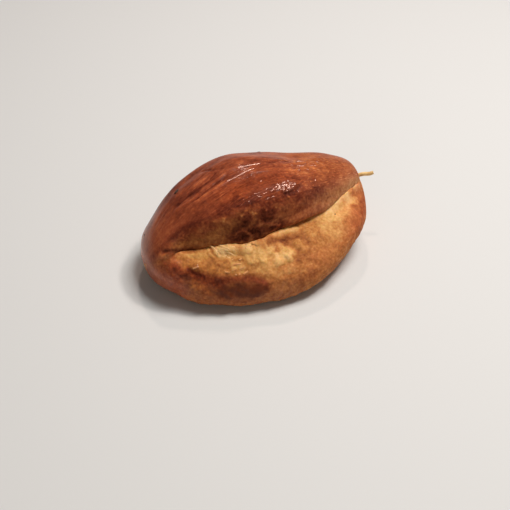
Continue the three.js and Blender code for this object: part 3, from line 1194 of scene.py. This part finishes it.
# %% Curled skin under the torn place
CURL_THICKNESS = 1.0
CURL_SINK = -0.2

curl_strands = strands_on_skin("curl", CURLS + [BLISTER_RIM], CURL_THICKNESS, CURL_SINK)
skin_curls = join_pieces("skin_curls", curl_strands)

# %% [markdown]
# On top the egg dried in two thin raised lines, which catch the light along their whole length. They
# are round strands, sunk so deep that only a low crown shows. Their knots stand close together, so
# that each line keeps to the wrinkled skin.

# %% Ridges of dried egg
EGG_STRAND = 1.1
EGG_SINK = -0.45
EGG_STEP = 1.0
EGG_PATHS = [
    [(-7.5, -19), (-3.6, -17.8), (0.4, -17.4), (5, -17.6)],
    [(-15, -8.2), (-11.6, -9), (-6.9, -10.8), (-2.4, -12), (0.4, -12.5)],
]


def closer(path, step):
    places, turns = zip(*path)
    count = int((places[-1] - places[0]) / step) + 1
    return [(place, np.interp(place, places, turns)) for place in np.linspace(places[0], places[-1], count)]


egg_lines = [closer(path, EGG_STEP) for path in EGG_PATHS]
strands = strands_on_skin("strand", egg_lines, EGG_STRAND, EGG_SINK)
print("egg lines", len(strands))

# %% [markdown]
# On the shoulder the egg foamed up and dried as a patch of tiny crooked worms, which glitter. Each
# one is a short strand at a random place in the patch, laid at a random slant. A patch is given by
# its middle, how far it reaches along and round, and the number of worms.

# %% Crooked worms of egg on the shoulder
FOAM = [
    (8.8, 18.4, 4.8, 5.2, 78),
    (23, 20.5, 2.2, 2, 4),
    (26, -8, 9, 14, 16),
]
WORM_SEED = 7
WORM_LENGTH = 1.5
WORM_THICKNESS = 0.9
WORM_SINK = -0.31
WORM_SLANT = 1.2
WORM_BOW = 0.3
TURN_PER_MM = 2

chance = np.random.default_rng(WORM_SEED)
for middle, middle_turn, long, wide, count in FOAM:
    for index in range(count):
        way = chance.uniform(0, 2 * math.pi)
        reach = math.sqrt(chance.uniform(0, 1))
        place = middle + reach * long * math.cos(way)
        turn = middle_turn + reach * wide * math.sin(way)
        slant = chance.uniform(-WORM_SLANT, WORM_SLANT)
        bow = chance.uniform(-WORM_BOW, WORM_BOW)
        half = WORM_LENGTH * chance.uniform(0.3, 0.6)
        half_along = half * math.cos(slant)
        half_round = TURN_PER_MM * half * math.sin(slant)
        worm = [
            (place - half_along, turn + half_round),
            (place + bow, turn + TURN_PER_MM * bow),
            (place + half_along, turn - half_round),
        ]
        strands.append(strand_on_skin(f"worm_{len(strands)}", worm, WORM_THICKNESS, WORM_SINK))
print("with worms", len(strands))

# %% [markdown]
# Where single wrinkles of the glaze glint, short strands lie in the same way, placed one at a time
# along the crest and the shoulder. All the strands of egg are then joined to one piece.

# %% Short strands where the glaze glints
GLINT_THICKNESS = 0.8
GLINT_SINK = -0.26
GLINTS = [
    [(23.4, -22.8), (26.2, -21.2)], [(31.6, -19), (34.2, -17)],
    [(21, -11), (24.6, -7.6)], [(26.6, -6), (29.2, -3.4)],
    [(20.6, 19.8), (21.2, 22.4)], [(24.2, 19.4), (24.8, 21.8)],
    [(23, 6.8), (24.2, 9.2)], [(-1.4, 5.6), (-0.4, 5.2)],
    [(-19.8, 20.8), (-18.8, 20.4)], [(-6.6, 17.8), (-5.4, 18.2)],
    [(-4.8, 18), (-4.2, 18.4)], [(-5.6, 20.6), (-4.9, 21.8), (-3.8, 22.8)],
    [(-2.6, 20.6), (-1.2, 20)], [(-0.9, 17.4), (-0.1, 16)],
    [(0.8, 20), (2.8, 18.8)], [(0.4, 25.4), (1.8, 25)],
    [(-2.2, 26), (-0.8, 25.4)], [(-9.4, 18.8), (-9, 19.8)],
    [(-10.4, 23), (-9.8, 22.6)], [(-11.8, 19.4), (-11.2, 19.8)],
    [(-17.6, 22.2), (-17, 22.6)], [(-14.2, 24.2), (-13.4, 23.8)],
    [(-20.2, 25.6), (-19.4, 25.2)], [(13.2, 27), (14.4, 27.8)],
]

strands += strands_on_skin("glint", GLINTS, GLINT_THICKNESS, GLINT_SINK)
egg_ridges = join_pieces("egg_ridges", strands)

# %% [markdown]
# From the right end of the crease a thin dry wisp of dough stands out, straw-coloured. It is drawn
# like a strand, but flatter, and in plain x, y and z, because it hangs free of the skin.

# %% Wisp at the right tip
WISP = [(52, 7.6, 22.3), (55.6, 7.3, 23.0), (58, 6.4, 23.5), (60.4, 5.5, 23.5), (62, 4.8, 24.2)]
WISP_WIDTH = 0.5
WISP_THICKNESS = 1.5
WISP_HEAD = 0.35
WISP_TAIL = 0.9

wisp_spots = [Vector(spot) * MM for spot in WISP]
wisp = draw_strand("wisp", wisp_spots, WISP_WIDTH, WISP_THICKNESS, WISP_HEAD, WISP_TAIL)
dry_wisp = join_pieces("dry_wisp", [wisp])

# %% [markdown]
# A few burnt specks sit on the crust. They are small balls, pressed flat against the skin and made
# uneven by a random push on their points, with a set seed for each.

# %% Burnt specks
SPECKS = [(-33.6, -36, 2.2), (-51.6, -53, 0.8), (11.7, -53, 1.0), (30.2, 72, 0.6)]
SPECK_SHAPE = (1.5, 1, 0.45)
SPECK_PUSH = 0.12

specks = []
for index, (place, turn, width) in enumerate(SPECKS):
    spot = on_skin(place, turn, 0)
    outward = (on_skin(place, turn, 1) - spot).normalized()
    bpy.ops.mesh.primitive_ico_sphere_add(
        subdivisions=2,
        radius=width / 2 * MM,
        location=spot,
        rotation=outward.to_track_quat("Z", "Y").to_euler(),
    )
    speck = bpy.context.object
    speck.scale = SPECK_SHAPE
    bpy.ops.object.mode_set(mode="EDIT")
    bpy.ops.mesh.select_all(action="SELECT")
    bpy.ops.transform.vertex_random(offset=SPECK_PUSH * width * MM, seed=index + 1)
    bpy.ops.object.mode_set(mode="OBJECT")
    specks.append(speck)
burnt_specks = join_pieces("burnt_specks", specks)

# %% [markdown]
# The small pieces are each coloured by a soft noise between two tones: cream for the crumb, golden
# for the curls, brown for the egg, straw for the wisp and almost black for the specks. The egg is
# the smoothest, and a higher index of refraction makes it glitter, with a pinkish tint.

# %% Finishes of the small pieces
EGG_TINT = (1.0, 0.72, 0.62, 1.0)
PLAIN_IOR = 1.5
PALE_STOP = 0.35
DARK_STOP = 0.65
FINISHES = [
    (torn_shreds, "torn crumb", (244, 202, 144), (228, 178, 116), 0.5, 500, 0.0),
    (skin_curls, "curled skin", (222, 160, 102), (198, 130, 74), 0.3, 500, 0.2),
    (egg_ridges, "dried egg", (150, 72, 40), (120, 52, 28), 0.2, 300, 0.65),
    (dry_wisp, "dry wisp", (246, 214, 148), (206, 160, 96), 0.6, 300, 0.0),
    (burnt_specks, "burnt speck", (70, 50, 40), (30, 20, 16), 0.6, 900, 0.0),
]

for piece, name, pale, dark, roughness, noise_scale, shine in FINISHES:
    finish = bpy.data.materials.new(name)
    finish.use_nodes = True
    tree = finish.node_tree
    pattern = noise_value(noise_scale, 2, add_node("ShaderNodeTexCoord").outputs["Object"])
    colour = ramp_colour(pattern, {PALE_STOP: tone(*pale), DARK_STOP: tone(*dark)})
    shader = tree.nodes["Principled BSDF"]
    tree.links.new(colour, shader.inputs["Base Color"])
    set_inputs(shader, {"Roughness": roughness, "IOR": PLAIN_IOR + shine, "Specular Tint": EGG_TINT})
    piece.data.materials.clear()
    piece.data.materials.append(finish)
    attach(piece, "root")
print("small pieces", len(FINISHES))
